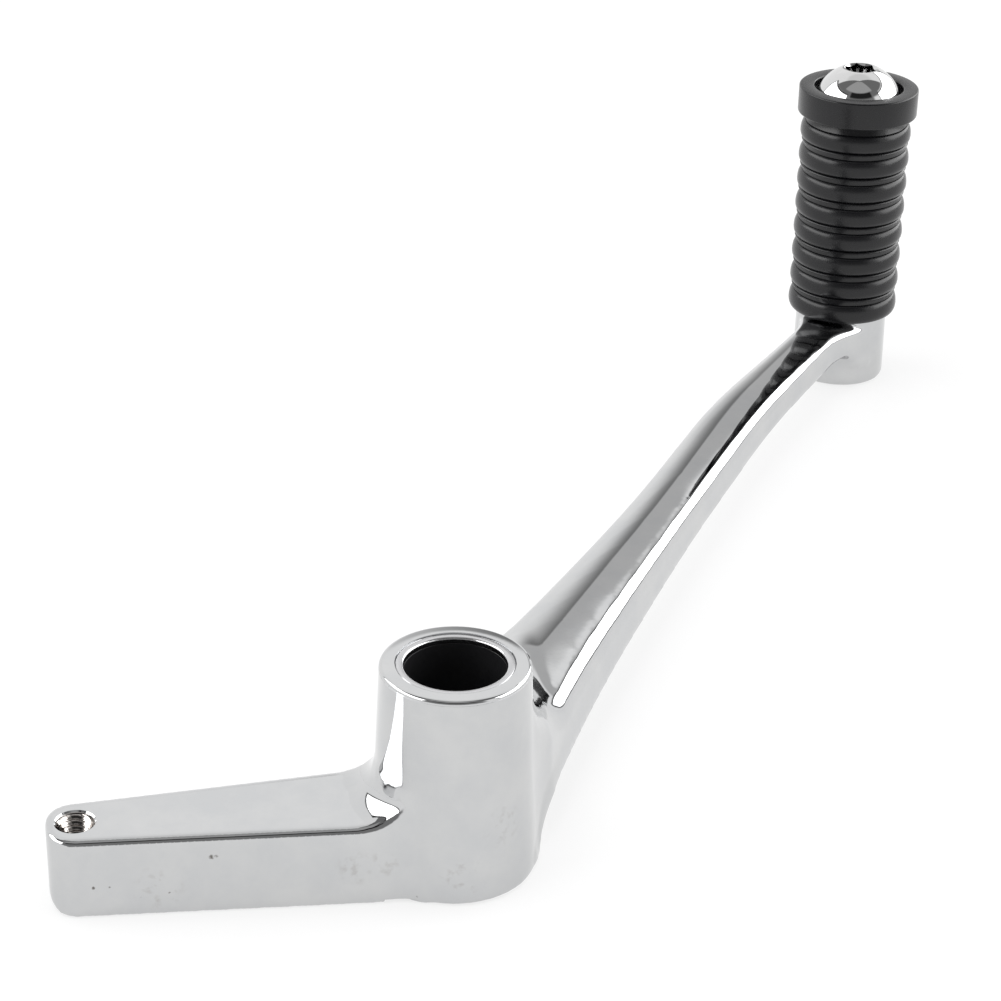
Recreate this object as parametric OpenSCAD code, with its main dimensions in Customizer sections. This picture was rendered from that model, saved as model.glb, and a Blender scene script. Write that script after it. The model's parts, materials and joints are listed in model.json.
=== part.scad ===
// Motorcycle gear shift lever: one plated casting with a tall pivot hub, a short arm for the
// shift rod, a long tapering arm and a ribbed rubber toe peg held by a button head bolt.
// The origin is on the pivot axis in the hub's lower face, +Z runs up the bore, and +X points
// at the toe peg's axis. Hub, short arm and peg boss all stand on the plane z = 0.

/* [Pivot hub] */
// Height of the hub along the bore
hub_h = 36; // [30:0.5:44]
// Hub radius just under its upper edge
hub_r_top = 11.8; // [11:0.1:14]
// Hub radius at the lower face
hub_r_bottom = 13.2; // [12.5:0.1:15]
// Rounding of the hub's upper outer edge
hub_edge_r = 0.7; // [0.3:0.1:1.5]
// Rounding of the lower outer edges of hub and boss
foot_edge_r = 0.9; // [0.3:0.1:1.5]

/* [Pivot bush] */
// Inner radius that the pivot shaft runs in
bore_r = 8; // [6:0.1:8.4]
// Wall of the black bearing liner
liner_wall = 0.4; // [0.3:0.05:0.6]
// Wall of the steel bush around the liner
bush_wall = 0.95; // [0.8:0.05:1.2]
// Length of the rolled lip that holds the liner at each end
lip_len = 0.6; // [0.4:0.1:1.2]
// Rounding of the lip at the upper end
lip_r = 0.45; // [0.2:0.05:0.6]
// Step of the bush's upper end below the hub's face
bush_step = 0.12; // [0:0.02:0.4]
// Chamfer around the bush's upper end
bush_chamfer = 0.25; // [0.1:0.05:0.4]

/* [Long arm] */
// Distance from the pivot axis to the toe peg's axis
peg_reach = 213; // [180:1:260]
// Where the arm bends, measured from the pivot axis
bend_at = 154; // [130:1:160]
// How far the bend stands off the line from pivot to peg
bend_offset = 4.2; // [0:0.1:8]
// Width of the arm at its root
arm_w_root = 21; // [16:0.1:21.4]
// Extra half width where the arm runs into the hub
arm_flare = 1.1; // [0:0.1:1.2]
// Length over which that flare fades out
arm_flare_len = 28; // [15:1:40]
// Width a quarter of the way along
arm_w_quarter = 15.6; // [11:0.1:17]
// Width half way along
arm_w_mid = 12.4; // [9:0.1:14]
// Width at the bend
arm_w_bend = 11.7; // [8:0.1:13]
// Width of the neck before the boss
arm_w_neck = 9.8; // [7:0.1:12]
// Height of the arm's underside
arm_z_low = 8.5; // [6:0.1:10]
// Depth of the arm's side at the root
arm_t_root = 9.8; // [8:0.1:12]
// Depth a quarter of the way along
arm_t_quarter = 8.1; // [6.5:0.1:10]
// Depth half way along
arm_t_mid = 6.6; // [5:0.1:8]
// Depth at the neck
arm_t_neck = 5.8; // [5:0.1:6.4]
// Rise of the crowned upper face at the root
arm_crown_root = 1.6; // [0:0.1:2.4]
// Rise of the crowned upper face at the neck
arm_crown_neck = 0.6; // [0:0.1:0.8]
// Rounding of the upper edges
arm_edge_r = 1.9; // [0.6:0.1:2.4]
// Rounding of the upper edges where they run up the hub
arm_root_edge_r = 4.5; // [2.4:0.1:5]
// Rounding of the lower edges
arm_low_edge_r = 0.9; // [0.4:0.1:1.4]
// Sweep of the upper face up the hub
arm_cove_r = 15; // [5:0.5:16]
// Sweep of the underside down the hub
arm_low_cove_r = 8.2; // [2:0.1:9]
// Extra radius of the hub's foot under the arm
arm_foot = 0.3; // [0:0.1:1]
// Sweep of the arm's sides into the hub
arm_root_cove_r = 40; // [20:1:60]
// Sweep of the arm's sides into the boss
arm_side_cove_r = 22; // [10:1:30]

/* [Short arm] */
// Angle from the long arm to the short arm
short_angle = 123.9; // [100:0.1:150]
// Distance from the pivot axis to the threaded hole
short_reach = 59; // [45:0.5:75]
// Radius of the arm's rounded end
short_tip_r = 5.7; // [4.8:0.1:7]
// Length of the rounded end beyond the threaded hole
short_tip_len = 4.6; // [4.2:0.1:7]
// Width of the arm at its root
short_w_root = 17.8; // [14:0.1:20]
// Height of the arm
short_h = 13.3; // [10:0.1:16]
// Sideways set of the arm at its root, towards the front of the hub
short_set = 0.8; // [0:0.1:1.2]
// Rounding of the upper edges
short_edge_r = 1.1; // [0.4:0.1:1.8]
// Rounding of the lower edges
short_low_edge_r = 0.4; // [0.2:0.1:0.8]
// Rounding of the lower edge at the very end
short_toe_r = 2.4; // [0.5:0.1:3]
// Sweep of the upper face up the hub
short_cove_r = 4.4; // [2:0.1:7]
// Sweep of the arm's sides into the hub
short_side_cove_r = 12; // [6:1:16]
// Radius of the threaded hole for the shift rod's joint
link_hole_r = 3; // [2:0.1:3.5]
// Radius out to which the underside is relieved around the hub
relief_r = 16.4; // [15:0.1:20]
// Depth of that relief
relief_depth = 0.7; // [0.3:0.1:1.5]

/* [Toe peg] */
// Height of the boss that carries the peg
boss_h = 15.2; // [15:0.1:18]
// Boss radius at its upper face
boss_r_top = 9.9; // [9.5:0.1:12]
// Boss radius at its foot
boss_r_bottom = 10.1; // [9:0.1:12]
// Draft of the cast sides in degrees
draft = 4.5; // [0:0.5:5]
// Length of the rubber from the boss to its upper rim
rubber_h = 50.9; // [45.5:0.1:60]
// Radius over the ribs
rib_r = 11.85; // [11.2:0.05:13.5]
// Radius at the bottom of the grooves
groove_r = 10.1; // [9.6:0.05:10.4]
// Radius of the thin lip under each rib
rib_lip_r = 10.75; // [10.5:0.05:11]
// Number of ribs
rib_count = 8; // [4:1:8]
// Distance from one rib to the next
rib_pitch = 5.55; // [4.8:0.05:5.6]
// Height of the rounded part of a rib
rib_h = 3.75; // [3.4:0.05:4.4]
// Outer radius of the smooth collar
collar_r = 12.75; // [12:0.05:14.5]
// Height of the collar
collar_h = 5.8; // [4:0.1:7]
// Radius of the recess in the collar
recess_r = 9.5; // [9.2:0.05:10.5]
// Depth of the recess
recess_depth = 2.6; // [2:0.1:3.5]
// Radius of the steel sleeve inside the rubber
sleeve_r = 8; // [7:0.1:8.2]

/* [Peg bolt] */
// Radius of the bolt's thread and shank
bolt_r = 5; // [4:0.1:5.5]
// Length of the bolt under its head
bolt_len = 60; // [56:0.5:66]
// Radius of the button head
head_r = 8.75; // [8:0.05:9]
// Height of the button head
head_h = 5.5; // [4.8:0.1:6]
// Depth of the head's underside below the rubber's rim
head_sink = 1.5; // [0.8:0.1:2]
// Width across the flats of the hexagon socket
hex_flats = 6; // [5:0.5:6]
// Depth of the hexagon socket
hex_depth = 4; // [3:0.1:4.5]

/* [Clearances] */
// Running clearance around the bolt inside the sleeve
sleeve_gap = 0.25; // [0.1:0.05:0.5]
// Thread clearance between bolt and boss
thread_gap = 0.05; // [0.02:0.01:0.1]
// Seat clearance between pieces that are pressed together
seat_gap = 0.02; // [0.01:0.01:0.04]

/* [Hidden] */
$fn = 96;

// Steps of an arc in a drawn outline, and of the edges and the crown of an arm's section
arc_steps = 6;
edge_steps = 4;
low_edge_steps = 2;
// Steps over the rounded part of one rib
rib_steps = 8;
// Depth that one solid runs into another where they are joined, and where a side does so
sink = 0.3;
side_sink = 0.12;
// Over-length of a cut
over = 1;
// Spacing of arm sections beside hub and boss, and along the plain stretch
fine_step = 1.1;
plain_step = 6;

liner_r = bore_r + liner_wall;
bush_r = liner_r + bush_wall;
bush_h = hub_h - bush_step;
hub_bore_r = bush_r + seat_gap;
rubber_top = boss_h + rubber_h;
head_z = rubber_top - head_sink;
rubber_in_r = sleeve_r + seat_gap;
sleeve_in_r = bolt_r + sleeve_gap;
boss_bore_r = bolt_r + thread_gap;

// Rise of a hollow sweep of radius r at the distance d from the wall it meets
function cove(d, r) = d >= r ? 0 : d <= 0 ? r : r - sqrt(r * r - (r - d) * (r - d));

// Smooth curve through the values vs, evenly spaced, at the place t from 0 to 1
function through(vs, t) =
    let (n = len(vs) - 1, x = min(max(t, 0), 1) * n, i = min(floor(x), n - 1), f = x - i,
         a = vs[max(i - 1, 0)], b = vs[i], c = vs[i + 1], d = vs[min(i + 2, n)])
    b + f * ((c - a) / 2 + f * (a - 2.5 * b + 2 * c - d / 2 + f * (1.5 * (b - c) + (d - a) / 2)));

// Where a side at half width h starts to sweep towards a round wall of radius r
function sweep_start(h, r, sweep) = sqrt(max(pow(r + sweep, 2) - pow(h + sweep, 2), 1));

// Half width that the sweep adds at the distance x from the round wall's axis
function sweep_add(x, h, r, sweep) =
    let (start = sweep_start(h, r, sweep), meet = start * r / (r + sweep))
    x >= start ? 0
    : x >= meet ? sweep - sqrt(sweep * sweep - pow(start - x, 2))
    : sweep - sqrt(sweep * sweep - pow(start - meet, 2)) - 0.6 * (meet - x);

// One side of an arm's section, from the middle of its top to the middle of its underside
function half_section(w, z_low, z_high, crown, r_top, r_low) =
    let (flat = w - r_top, slope = atan(2 * crown / flat), spread = (z_high - z_low) * tan(draft),
         rim = z_high - r_top * (1 - cos(slope)))
    concat(
        [for (i = [0 : edge_steps]) let (v = i / edge_steps)
            [v * (flat + r_top * sin(slope)), rim + crown * (1 - v * v)]],
        [for (i = [1 : edge_steps]) let (a = (90 - slope) * (1 - i / edge_steps))
            [flat + r_top * cos(a), z_high - r_top + r_top * sin(a)]],
        [for (i = [0 : low_edge_steps]) let (a = -90 * i / low_edge_steps)
            [w + spread - r_low + r_low * cos(a), z_low + r_low + r_low * sin(a)]],
        [[(w + spread - r_low) / 2, z_low]]
    );

// A whole section, run once around: the side towards +Y, then the other side turned over
function whole_section(half, other) =
    let (n = len(half), foot = half[n - 1][1])
    concat(half, [[0, foot]], [for (i = [n - 1 : -1 : 1]) [-other[i][0], other[i][1]]]);

// Closed skin over sections that all have the same number of points, its ends fanned around
// their middles
module loft(sections) {
    rings = len(sections);
    n = len(sections[0]);
    last = (rings - 1) * n;
    ones = [for (i = [1 : n]) 1];
    polyhedron(
        points = concat(
            [for (s = sections) for (p = s) p],
            [ones * sections[0] / n, ones * sections[rings - 1] / n]
        ),
        faces = concat(
            [for (i = [0 : n - 1]) [rings * n, (i + 1) % n, i]],
            [for (k = [0 : rings - 2]) for (i = [0 : n - 1]) let (j = (i + 1) % n)
                [k * n + i, (k + 1) * n + j, (k + 1) * n + i]],
            [for (k = [0 : rings - 2]) for (i = [0 : n - 1]) let (j = (i + 1) % n)
                [k * n + i, k * n + j, (k + 1) * n + j]],
            [for (i = [0 : n - 1]) [rings * n + 1, last + i, last + (i + 1) % n]]
        )
    );
}

// Hub radius at the height z
function hub_r(z) = hub_r_bottom + (hub_r_top - hub_r_bottom) * min(max(z, 0), hub_h) / hub_h;

// Where the long arm leaves the hub, the sweep of its upper face, which ends below the hub's
// upper edge, and where its neck starts to sweep into the boss
root_x = hub_r(arm_z_low + arm_t_root / 2);
arm_top = arm_z_low + arm_t_root + arm_crown_root;
top_cove_r = min(arm_cove_r, hub_h - hub_edge_r - 0.4 - arm_top);
top_cove_x = hub_r(arm_top + top_cove_r) - sink;
low_cove_r = min(arm_low_cove_r, arm_z_low - 0.3);
low_cove_x = hub_r_bottom + arm_foot;
neck_x = peg_reach - boss_r_top - arm_side_cove_r / 2;
arm_end = peg_reach - 4;

// Long arm at the distance x: the share of the way along, its middle line and its sizes
function along(x) = (x - root_x) / (neck_x - root_x);
function middle(x) =
    let (blend = 14, up = bend_offset / bend_at, down = -bend_offset / (peg_reach - bend_at),
         d = x - bend_at, f = min(max(d / blend, -1), 1))
    bend_offset + (f <= -1 ? up * d : f >= 1 ? down * d
        : blend * (up * (2 * f - f * f - 1) + down * (f + 1) * (f + 1)) / 4);
function arm_half(x) = through([arm_w_root, arm_w_quarter, arm_w_mid,
    arm_w_bend, arm_w_neck] / 2, along(x))
    + arm_flare * pow(max(1 - (x - root_x) / arm_flare_len, 0), 2);
function arm_depth(x) = through([arm_t_root, arm_t_quarter, arm_t_mid,
    (arm_t_mid + arm_t_neck) / 2, arm_t_neck], along(x));
function arm_crown(x) = through([arm_crown_root, (arm_crown_root + arm_crown_neck) / 2,
    arm_crown_neck], along(x));
function arm_edge(x) = arm_edge_r + max(arm_root_edge_r - arm_edge_r, 0)
    * pow(min(max(1 - (x - root_x / 2) / root_x, 0), 1), 2);

// One side of the long arm's section, swept into hub and boss, and the whole section in place
function arm_side(x, side) =
    let (w = arm_half(max(x, root_x)) + (x < peg_reach / 2
            ? sweep_add(x, arm_half(root_x) + side * middle(root_x), root_x - side_sink,
                arm_root_cove_r)
            : sweep_add(peg_reach - x, arm_w_neck / 2 + side * middle(neck_x) / 2,
                boss_r_bottom - sink, arm_side_cove_r)))
    half_section(w, arm_z_low, arm_z_low + arm_depth(x), arm_crown(x), arm_edge(x),
        arm_low_edge_r);

function arm_section(x) =
    [for (p = whole_section(arm_side(x, 1), arm_side(x, -1)))
        let (y = middle(x) + p[0],
             to_axis = norm([x, y]),
             to_boss = norm([x - peg_reach, y]) - boss_r_bottom + sink,
             upper = p[1] > arm_z_low + arm_depth(x) / 2)
        [x, y, p[1] + (upper ? cove(to_axis - top_cove_x, top_cove_r)
            : -cove(to_axis - low_cove_x, low_cove_r) - cove(to_boss, low_cove_r / 2))]];

module long_arm() {
    near = root_x + top_cove_r + 4;
    plain = neck_x - near;
    plain_count = round(plain / plain_step);
    stations = concat(
        [for (x = [0 : fine_step : near]) x],
        [for (i = [1 : plain_count]) near + plain * i / plain_count],
        [for (i = [1 : 10]) neck_x + (arm_end - neck_x) * i / 10]
    );
    loft([for (x = stations) arm_section(x)]);
}

// Short arm, along its own +X axis: a straight taper that ends in a half round
short_root_x = hub_r(short_h / 2);
function short_half(x) = short_tip_r + (short_w_root / 2 - short_tip_r) *
    (short_reach - x) / (short_reach - short_root_x);

// Height that an edge of radius r loses towards the arm's end
function end_drop(x, r) =
    let (d = x - (short_reach + short_tip_len - r)) d <= 0 ? 0 : r - sqrt(max(r * r - d * d, 0));

// One side of the short arm's section for a half width w, and the whole section in place
function short_side(x, w, side) =
    let (set = side * short_set * (1 - x / short_reach),
         add = sweep_add(x, short_half(short_root_x) + side * short_set,
            short_root_x - sink, short_side_cove_r))
    half_section(w + set + add, end_drop(x, short_toe_r), short_h - end_drop(x, short_edge_r), 0,
        short_edge_r, short_low_edge_r);

function short_section(x, w) =
    [for (p = whole_section(short_side(x, w, 1), short_side(x, w, -1)))
        let (to_hub = norm([x, p[0]]) - short_root_x + sink)
        [x, p[0], p[1] + (p[1] > short_h / 2 ? cove(to_hub, short_cove_r) : 0)]];

module short_arm() {
    near = short_root_x + short_cove_r + 4;
    end_w = short_edge_r + 1;
    stations = concat([for (x = [0 : fine_step : near]) x],
        [for (i = [1 : 8]) near + (short_reach - near) * i / 8]);
    tip = [for (i = [1 : 8]) let (a = 80 * i / 8)
        [short_reach + short_tip_len * sin(a), end_w + (short_tip_r - end_w) * cos(a)]];
    rotate([0, 0, short_angle])
        loft(concat(
            [for (x = stations) short_section(x, short_half(max(x, short_root_x)))],
            [for (t = tip) short_section(t[0], t[1])]
        ));
}

// Round post with draft and rounded edges, standing on z = 0
module post(h, r_low, r_high, edge_low, edge_high) {
    rotate_extrude()
        polygon(concat(
            [[0, 0]],
            [for (i = [0 : arc_steps]) let (a = -90 + 90 * i / arc_steps)
                [r_low - edge_low + edge_low * cos(a), edge_low + edge_low * sin(a)]],
            [for (i = [0 : arc_steps]) let (a = 90 * i / arc_steps)
                [r_high - edge_high + edge_high * cos(a), h - edge_high + edge_high * sin(a)]],
            [[0, h]]
        ));
}

module lever() {
    color("gainsboro")
        difference() {
            union() {
                post(hub_h, hub_r_bottom, hub_r_top, foot_edge_r, hub_edge_r);
                translate([peg_reach, 0, 0])
                    post(boss_h, boss_r_bottom, boss_r_top, foot_edge_r, 0.2);
                long_arm();
                short_arm();
            }
            translate([0, 0, -over])
                cylinder(r = hub_bore_r, h = hub_h + 2 * over);
            translate([0, 0, -over])
                difference() {
                    cylinder(r = relief_r, h = over + relief_depth);
                    cylinder(r = hub_r_bottom, h = 2 * over + relief_depth);
                }
            rotate([0, 0, short_angle])
                translate([short_reach, 0, -over])
                    cylinder(r = link_hole_r, h = short_h + 2 * over);
            translate([peg_reach, 0, -over])
                cylinder(r = boss_bore_r, h = boss_h + 2 * over);
        }
}

// Steel bush: its rolled lips keep the liner in, and the upper lip is rounded
module pivot_bush() {
    color("silver")
        rotate_extrude()
            polygon(concat(
                [[bore_r, 0], [bush_r, 0], [bush_r, bush_h - bush_chamfer],
                 [bush_r - bush_chamfer, bush_h]],
                [for (i = [0 : arc_steps]) let (a = 90 + 90 * i / arc_steps)
                    [bore_r + lip_r + lip_r * cos(a), bush_h - lip_r + lip_r * sin(a)]],
                [[bore_r, bush_h - lip_r - lip_len], [liner_r + seat_gap, bush_h - lip_r - lip_len],
                 [liner_r + seat_gap, lip_len], [bore_r, lip_len]]
            ));
}

module bush_liner() {
    color("black")
        translate([0, 0, lip_len + seat_gap])
            difference() {
                cylinder(r = liner_r, h = bush_h - lip_r - 2 * lip_len - 2 * seat_gap);
                translate([0, 0, -over])
                    cylinder(r = bore_r, h = hub_h + 2 * over);
            }
}

module peg_sleeve() {
    color("dimgray")
        translate([peg_reach, 0, boss_h])
            difference() {
                cylinder(r = sleeve_r, h = head_z - boss_h);
                translate([0, 0, -over])
                    cylinder(r = sleeve_in_r, h = rubber_h + 2 * over);
            }
}

// One rib, upwards from its foot at the height z
function bead_outline(z) =
    [for (i = [0 : rib_steps]) let (a = 180 * i / rib_steps)
        [groove_r + 0.1 + (rib_r - groove_r - 0.1) * pow(max(sin(a), 0), 0.8),
         z + rib_h / 2 - rib_h / 2 * cos(a)]];

// The neck between one rib and the next, with the thin lip right under the upper rib
function lip_outline(z) =
    let (lip_h = rib_pitch - rib_h)
    [[groove_r, z + 0.1], [groove_r + 0.15, z + lip_h * 0.4], [rib_lip_r, z + lip_h - 0.4],
     [rib_lip_r, z + lip_h - 0.15], [groove_r + 0.25, z + lip_h - 0.06]];

module peg_rubber() {
    rim = 0.35;
    ribs_h = rib_count * rib_pitch;
    first = 0.1;
    collar_z = rubber_h - collar_h;
    color("dimgray")
        translate([peg_reach, 0, boss_h])
            rotate_extrude()
                polygon(concat(
                    [[rubber_in_r, 0], [groove_r, 0]],
                    [for (k = [0 : rib_count - 1]) let (z = first + k * rib_pitch)
                        each concat(bead_outline(z),
                            k < rib_count - 1 ? lip_outline(z + rib_h) : [])],
                    [[groove_r, first + ribs_h - rib_pitch + rib_h + 0.1],
                     [groove_r, collar_z], [collar_r - rim, collar_z],
                     [collar_r, collar_z + rim], [collar_r, rubber_h - rim],
                     [collar_r - rim, rubber_h], [recess_r + rim, rubber_h],
                     [recess_r, rubber_h - rim], [recess_r, rubber_h - recess_depth],
                     [rubber_in_r, rubber_h - recess_depth]]
                ));
}

// Domed head above its seat, with a small flat around the socket
module bolt_head() {
    rim_h = 0.7;
    flat_r = hex_flats * 0.62;
    rise = head_h - rim_h;
    ball_r = (pow(head_r, 2) - pow(flat_r, 2) + pow(rise, 2)) / (2 * rise);
    ball = sqrt(pow(flat_r, 2) + pow(ball_r, 2));
    start = atan2(0 - (rise - ball_r), head_r);
    turn = atan2(ball_r, flat_r);
    rotate_extrude()
        polygon(concat(
            [[0, 0], [head_r, 0]],
            [for (i = [0 : 2 * arc_steps]) let (a = start + (turn - start) * i / (2 * arc_steps))
                [ball * cos(a), rim_h + rise - ball_r + ball * sin(a)]],
            [[0, head_h]]
        ));
}

module peg_bolt() {
    color("whitesmoke")
        translate([peg_reach, 0, head_z])
            difference() {
                union() {
                    bolt_head();
                    translate([0, 0, -bolt_len])
                        cylinder(r = bolt_r, h = bolt_len + sink);
                }
                translate([0, 0, head_h - hex_depth])
                    cylinder(d = hex_flats / cos(30), h = hex_depth + over, $fn = 6);
            }
}

lever();
pivot_bush();
bush_liner();
peg_sleeve();
peg_rubber();
peg_bolt();
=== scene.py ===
# %% [markdown]
# # A chromed shift lever on a white table
# The object is one plated casting: a tall hub, a short arm for the shift rod, a long arm, and a
# boss that carries a ribbed rubber peg. A chrome part is mostly a picture of the room around it,
# so two things decide how it looks: very even surfaces, and a studio with bright and dark areas
# in the right directions. The frame from CAD gives the outer sizes and the places, and the
# pieces made here lie on it. Smaller sizes are named where they are first needed, in mm.

# %% Load the frame and measure it
import json
import math
import bpy
from mathutils import Matrix, Vector

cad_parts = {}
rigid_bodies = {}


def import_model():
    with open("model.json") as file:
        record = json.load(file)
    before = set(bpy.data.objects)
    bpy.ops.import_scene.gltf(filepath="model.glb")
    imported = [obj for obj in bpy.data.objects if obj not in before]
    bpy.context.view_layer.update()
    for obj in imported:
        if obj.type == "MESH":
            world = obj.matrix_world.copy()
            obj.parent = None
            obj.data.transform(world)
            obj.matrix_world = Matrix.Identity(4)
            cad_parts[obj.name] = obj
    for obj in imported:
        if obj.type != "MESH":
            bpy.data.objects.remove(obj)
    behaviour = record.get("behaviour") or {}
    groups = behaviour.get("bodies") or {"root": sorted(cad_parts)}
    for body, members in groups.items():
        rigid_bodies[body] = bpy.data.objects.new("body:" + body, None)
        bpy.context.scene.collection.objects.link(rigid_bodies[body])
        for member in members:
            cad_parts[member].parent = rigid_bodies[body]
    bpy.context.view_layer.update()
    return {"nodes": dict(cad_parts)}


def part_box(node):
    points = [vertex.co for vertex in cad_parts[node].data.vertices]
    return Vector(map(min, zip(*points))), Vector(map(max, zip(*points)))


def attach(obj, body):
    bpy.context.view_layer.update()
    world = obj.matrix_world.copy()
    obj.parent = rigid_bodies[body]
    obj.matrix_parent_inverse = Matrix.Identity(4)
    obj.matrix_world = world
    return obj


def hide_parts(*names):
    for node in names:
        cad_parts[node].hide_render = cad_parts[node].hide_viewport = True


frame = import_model()
MM = 0.001


def measured(name):
    """Lowest and highest corner of a CAD node, in mm to two places."""
    low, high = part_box(name)
    return [round(v / MM, 2) for v in low], [round(v / MM, 2) for v in high]


for part_name in frame["nodes"]:
    print(part_name, *measured(part_name))

# %% [markdown]
# ## Small helpers
# Blender's edit operators act on whatever is selected, so each step here starts with nothing
# selected. These helpers only save typing: they pick an object, open and close edit mode, add a
# modifier and apply it, and hand a finished piece to the frame.

# %% Helpers for objects and edit mode
def pick(*objects):
    """Select these objects and nothing else, and make the first one active."""
    for item in bpy.context.view_layer.objects:
        item.select_set(False)
    for item in objects:
        item.select_set(True)
    bpy.context.view_layer.objects.active = objects[0]


def edit(item, mode="VERT"):
    """Open edit mode with everything selected."""
    pick(item)
    bpy.ops.object.mode_set(mode="EDIT")
    bpy.ops.mesh.select_mode(type=mode)
    bpy.ops.mesh.select_all(action="SELECT")


def done():
    bpy.ops.object.mode_set(mode="OBJECT")


def modify(item, kind, **settings):
    """Add one modifier, set it and apply it."""
    pick(item)
    bpy.ops.object.modifier_add(type=kind)
    modifier = item.modifiers[-1]
    for key, value in settings.items():
        setattr(modifier, key, value)
    bpy.ops.object.modifier_apply(modifier=modifier.name)


def cut(item, cutter):
    """Take the cutter's shape out of the piece, and throw the cutter away."""
    modify(item, "BOOLEAN", object=cutter, operation="DIFFERENCE", solver="EXACT")
    bpy.data.objects.remove(cutter)


def triangles(item):
    return sum(len(face.vertices) - 2 for face in item.data.polygons)


def finish_piece(item, name, material, replaced=(), smooth=35):
    """Name the piece, shade it, give it its material and tie it to the frame."""
    item.name = item.data.name = name
    pick(item)
    bpy.ops.object.shade_smooth_by_angle(angle=math.radians(smooth))
    item.data.materials.clear()
    item.data.materials.append(material)
    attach(item, "root")
    if replaced:
        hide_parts(*replaced)
    low, high = item.bound_box[0], item.bound_box[6]
    print(name, triangles(item), "triangles,", [round(v / MM, 2) for v in (*low, *high)])


# %% [markdown]
# Many pieces of a lever are turned on a lathe: bush, bolt head, rubber. Their half outline is
# drawn once, with the vertices of a circle put in place one by one, and Spin sweeps it round the
# axis. An outline that touches the axis is left open there, or a wall would stand inside the
# piece. Spin leaves a seam and can turn the skin inside out, so doubles are merged and the normals
# made consistent at once.

# %% Turn an outline round an upright axis
# Points closer together than this, in mm, are one point.
CLOSE = 0.002


def place_outline(outline, axis_x=0, left_out=None):
    """Outline of (radius, height) points in mm, drawn in the XZ plane.

    left_out says, from the numbers of its two points, which lines are not wanted.
    """
    bpy.ops.mesh.primitive_circle_add(vertices=len(outline), radius=1, fill_type="NOTHING")
    item = bpy.context.object
    for vertex, (radius, height) in zip(item.data.vertices, outline):
        vertex.co = ((axis_x + radius) * MM, 0, height * MM)
    item.data.update()
    if left_out:
        edit(item, "EDGE")
        bpy.ops.mesh.select_all(action="DESELECT")
        done()
        for line in item.data.edges:
            line.select = left_out(*line.vertices)
        bpy.ops.object.mode_set(mode="EDIT")
        bpy.ops.mesh.delete(type="EDGE")
        done()
    return item


def turn(outline, axis_x=0, steps=128, open_at_axis=False):
    """Sweep the outline once round its axis."""
    def on_axis(a, b):
        return outline[a][0] == 0 and outline[b][0] == 0

    item = place_outline(outline, axis_x, on_axis if open_at_axis else None)
    edit(item)
    bpy.ops.mesh.spin(steps=steps, angle=2 * math.pi, center=(axis_x * MM, 0, 0), axis=(0, 0, 1))
    bpy.ops.mesh.select_all(action="SELECT")
    bpy.ops.mesh.remove_doubles(threshold=CLOSE * MM)
    bpy.ops.mesh.normals_make_consistent(inside=False)
    done()
    return item


def arc(centre, radius, start, end, steps):
    """Points of an arc, angles in degrees, from start to end."""
    angles = [math.radians(start + (end - start) * i / steps) for i in range(steps + 1)]
    return [(centre[0] + radius * math.cos(a), centre[1] + radius * math.sin(a)) for a in angles]


# %% [markdown]
# ## The casting's two arms
# On the real lever both arms leave the hub in broad sweeps and are polished until no edge of the
# mould is left. A few facets would break every reflection, so each arm is lofted much finer than
# in CAD: a grid is rolled into a tube, one column of the grid for each section. All sizes are
# in mm, the same as in CAD or close to it.

# %% Sizes of the hub and the boss
HUB_H, HUB_TOP_R, HUB_LOW_R, HUB_BORE_R = 36.0, 11.8, 13.2, 9.37
PEG_X, BOSS_H, BOSS_TOP_R, BOSS_LOW_R = 213.0, 15.2, 9.9, 10.1


def hub_radius(z):
    """The hub tapers from its foot to its top."""
    return HUB_LOW_R + (HUB_TOP_R - HUB_LOW_R) * min(max(z, 0), HUB_H) / HUB_H


# Side faces lean by this much for each mm of height, so that the casting leaves its mould.
DRAFT = math.tan(math.radians(4.5))
print("hub top", HUB_H, "in CAD", measured("lever")[1][2])

# %% Sizes of the long arm, from its root at the hub to its neck at the boss
ARM_LOW = 8.5
ARM_WIDTHS = [21.0, 15.6, 12.4, 11.7, 9.8]
ARM_DEPTHS = [9.8, 8.1, 6.6, 6.3, 6.2]
ARM_CROWNS = [1.2, 0.9, 0.4]
BEND_X, BEND_Y, BEND_BLEND = 154.0, 4.2, 14.0
ROOT_Z, NECK_LEN = 13.4, 11.0
ROOT_X = hub_radius(ROOT_Z)
NECK_X = PEG_X - BOSS_TOP_R - NECK_LEN
# The root flares, and its sides sweep into the hub and the boss (back, front).
FLARE, FLARE_LEN, ROOT_SWEEP, BOSS_SWEEP = 1.1, 28.0, 40.0, (22.0, 26.0)
# Hollow sweeps: their reach along the back and the front, their height and their start.
BACK_COVE, FRONT_COVE = 38.0, 14.0
TOP_COVE_R, TOP_COVE_X, LOW_COVE_R, LOW_COVE_X = 15.0, 11.8, 8.2, 13.5
BACK_EDGE_R, FRONT_EDGE_R, ROOT_EDGE_R, LOW_EDGE_R = 1.4, 4.6, 4.6, 0.7
# Front facet: its fall for each mm, and the share of the width that its edge may take.
FACET_FALL, EDGE_SHARE = 0.095, 0.54

# %% Sizes of the short arm
SHORT_ANGLE, SHORT_REACH, SHORT_H = 123.9, 59.0, 13.3
SHORT_TIP_R, SHORT_TIP_LEN, SHORT_ROOT_W, SHORT_SET = 5.7, 4.6, 17.8, 0.8
SHORT_ROOT_X = hub_radius(SHORT_H / 2)
SHORT_SWEEP, SHORT_COVE, SHORT_SINK = 12.0, 6.0, 0.3
SHORT_FRONT, SHORT_BACK = 1, -1
SHORT_FRONT_EDGE_R, SHORT_BACK_EDGE_R, SHORT_LOW_EDGE_R = 1.0, 0.4, 0.25
TIP_TOP_R, TIP_LOW_R = 1.2, 2.4


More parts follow.
